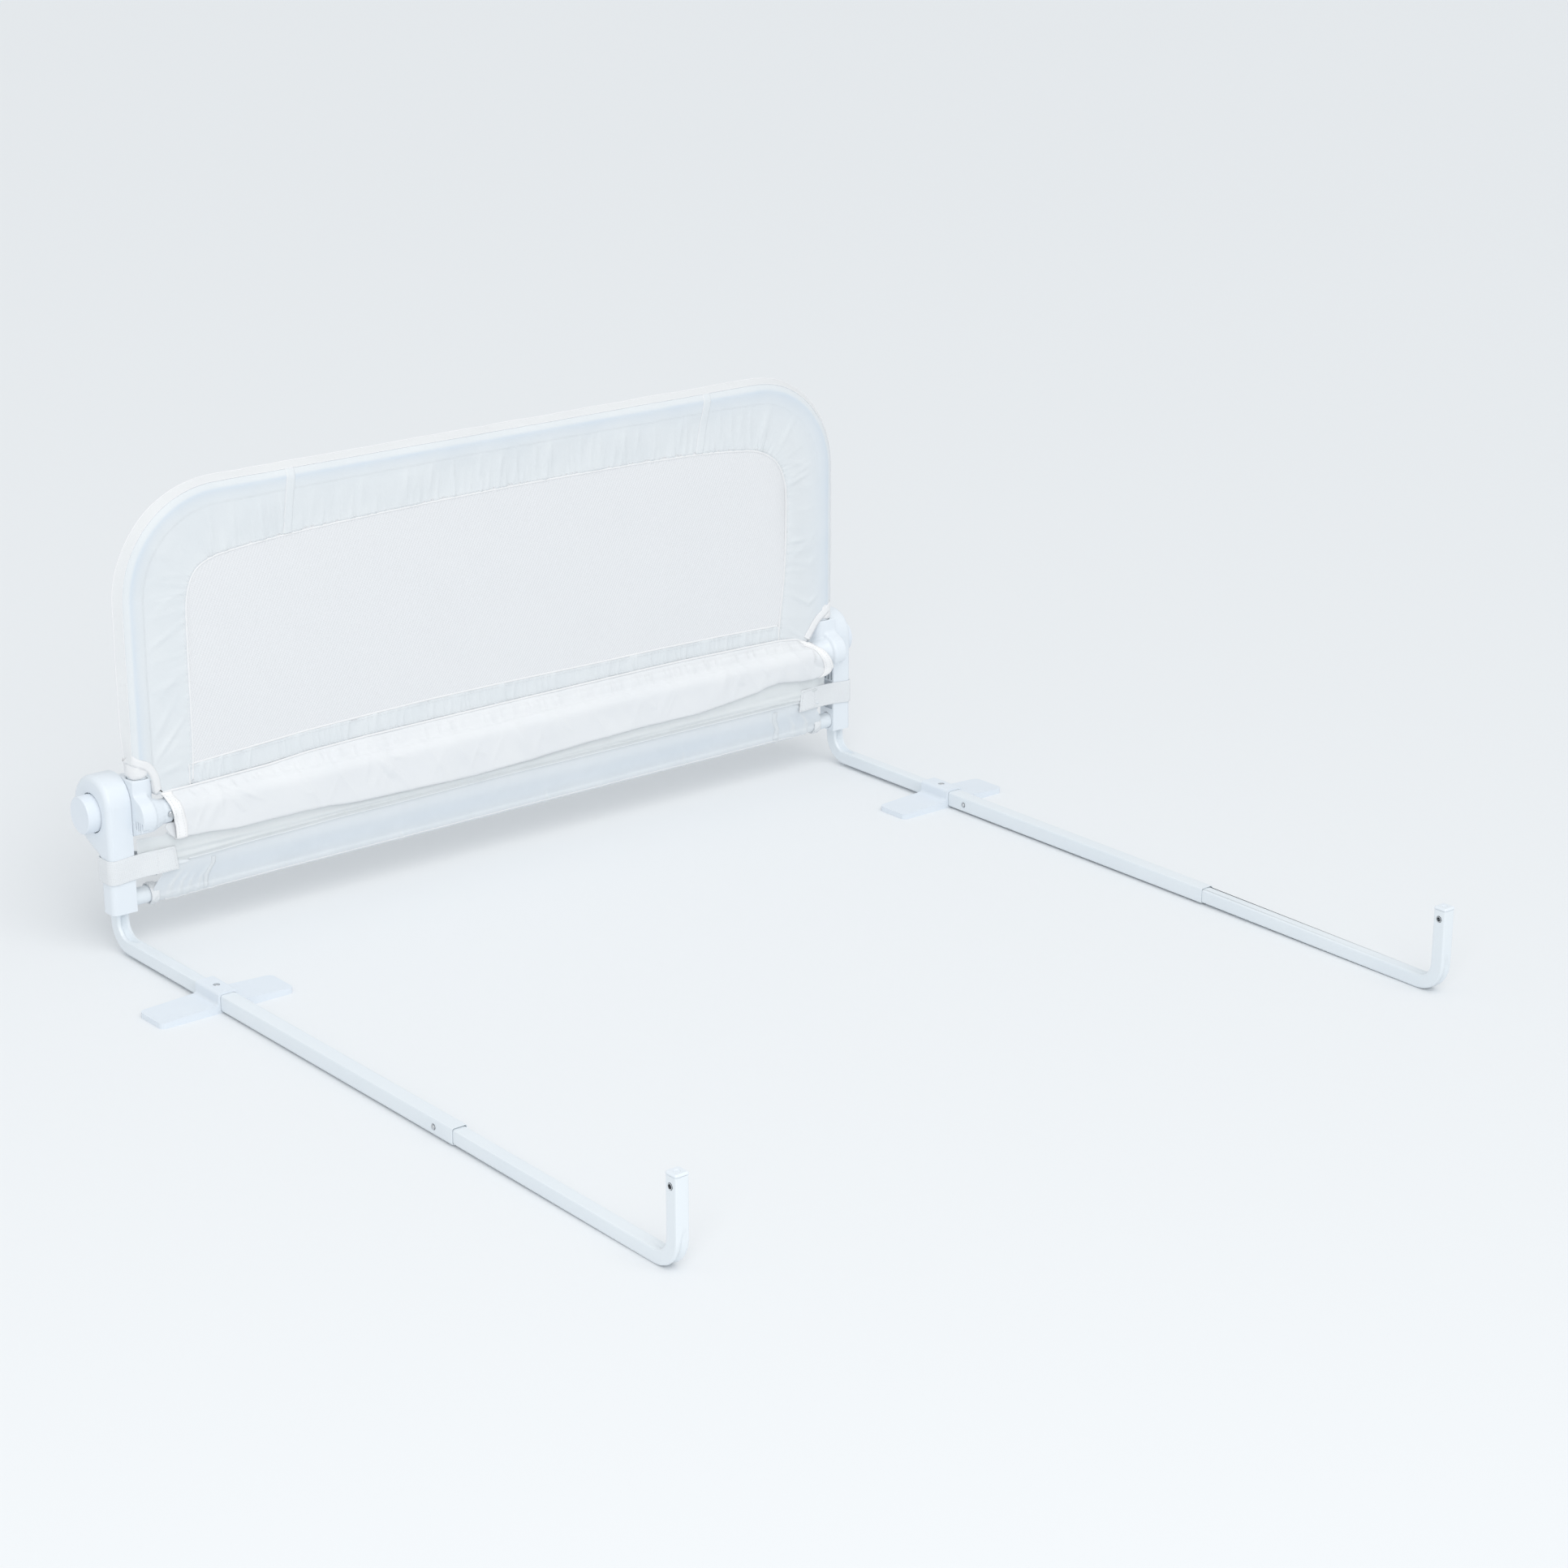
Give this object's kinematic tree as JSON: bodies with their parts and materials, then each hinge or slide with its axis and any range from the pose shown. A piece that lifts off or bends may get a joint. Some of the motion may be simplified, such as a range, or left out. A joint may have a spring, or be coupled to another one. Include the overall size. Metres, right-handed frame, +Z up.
{
  "type": "folding bed guard rail",
  "caption": "Folding bed guard rail: padded mesh guard on push-button hubs, with a gathered skirt, square arms that reach under the mattress, wide feet and hooked ends.",
  "frame": {"origin": "on the floor, under the middle of the whole rail with its arms and feet", "axes": "+X along the rail, +Y away from the mattress, +Z up"},
  "size_m": [1.213, 1.0973, 0.5248],
  "materials": {
    "moulding": "satin",
    "button": "satin",
    "foot_plastic": "satin",
    "painted_tube": "gloss enamel",
    "steel": "plain",
    "border_cloth": "woven, slight sheen",
    "net": "fine mesh",
    "sheer_cloth": "sheer",
    "webbing": "woven tape"
  },
  "bodies": {
    "base": {"left_arm_sleeve": "painted_tube", "left_arm_tube": "painted_tube", "left_button_spring": "steel", "left_far_snap_spring": "steel", "left_foot": "foot_plastic", "left_foot_screw": "steel", "left_hook_bush": "steel", "left_hook_cap": "moulding", "left_hook_tube": "painted_tube", "left_near_snap_spring": "steel", "left_pivot_bolt": "steel", "left_post": "moulding", "left_post_screw": "steel", "left_skirt_band": "webbing", "left_strap": "webbing", "lower_tube": "painted_tube", "right_arm_sleeve": "painted_tube", "right_arm_tube": "painted_tube", "right_button_spring": "steel", "right_far_snap_spring": "steel", "right_foot": "foot_plastic", "right_foot_screw": "steel", "right_hook_bush": "steel", "right_hook_cap": "moulding", "right_hook_tube": "painted_tube", "right_near_snap_spring": "steel", "right_pivot_bolt": "steel", "right_post": "moulding", "right_post_screw": "steel", "right_skirt_band": "webbing", "right_strap": "webbing", "skirt": "sheer_cloth"},
    "guard": {"guard_frame": "painted_tube", "middle_tube": "painted_tube", "guard_cover": "border_cloth", "mesh_window": "net", "cover_wrap": "border_cloth", "left_knuckle": "moulding", "left_knuckle_screw": "steel", "left_pivot_nut": "steel", "right_knuckle": "moulding", "right_knuckle_screw": "steel", "right_pivot_nut": "steel"},
    "left_button": {"left_push_button": "button"},
    "left_near_pin": {"left_near_snap_pin": "steel"},
    "left_far_pin": {"left_far_snap_pin": "steel"},
    "right_button": {"right_push_button": "button"},
    "right_near_pin": {"right_near_snap_pin": "steel"},
    "right_far_pin": {"right_far_snap_pin": "steel"}
  },
  "joints": [
    {"name": "guard_fold", "type": "hinge", "parent": "base", "child": "guard", "pos_m": [0, 0.50575, 0.16], "axis": [-1, 0, 0], "range_deg": [0, 180]},
    {"name": "left_button_press", "type": "slide", "parent": "base", "child": "left_button", "axis": [1, 0, 0], "range_m": [0, 0.008], "stiffness_N_per_m": 500, "springref_m": -0.004, "deforming": ["left_button_spring"]},
    {"name": "left_near_pin_press", "type": "slide", "parent": "base", "child": "left_near_pin", "axis": [-1, 0, 0], "range_m": [0, 0.0035], "stiffness_N_per_m": 800, "springref_m": -0.003, "deforming": ["left_near_snap_spring"]},
    {"name": "left_far_pin_press", "type": "slide", "parent": "base", "child": "left_far_pin", "axis": [1, 0, 0], "range_m": [0, 0.0035], "stiffness_N_per_m": 800, "springref_m": -0.003, "deforming": ["left_far_snap_spring"]},
    {"name": "right_button_press", "type": "slide", "parent": "base", "child": "right_button", "axis": [-1, 0, 0], "range_m": [0, 0.008], "stiffness_N_per_m": 500, "springref_m": -0.004, "deforming": ["right_button_spring"]},
    {"name": "right_near_pin_press", "type": "slide", "parent": "base", "child": "right_near_pin", "axis": [1, 0, 0], "range_m": [0, 0.0035], "stiffness_N_per_m": 800, "springref_m": -0.003, "deforming": ["right_near_snap_spring"]},
    {"name": "right_far_pin_press", "type": "slide", "parent": "base", "child": "right_far_pin", "axis": [-1, 0, 0], "range_m": [0, 0.0035], "stiffness_N_per_m": 800, "springref_m": -0.003, "deforming": ["right_far_snap_spring"]}
  ]
}
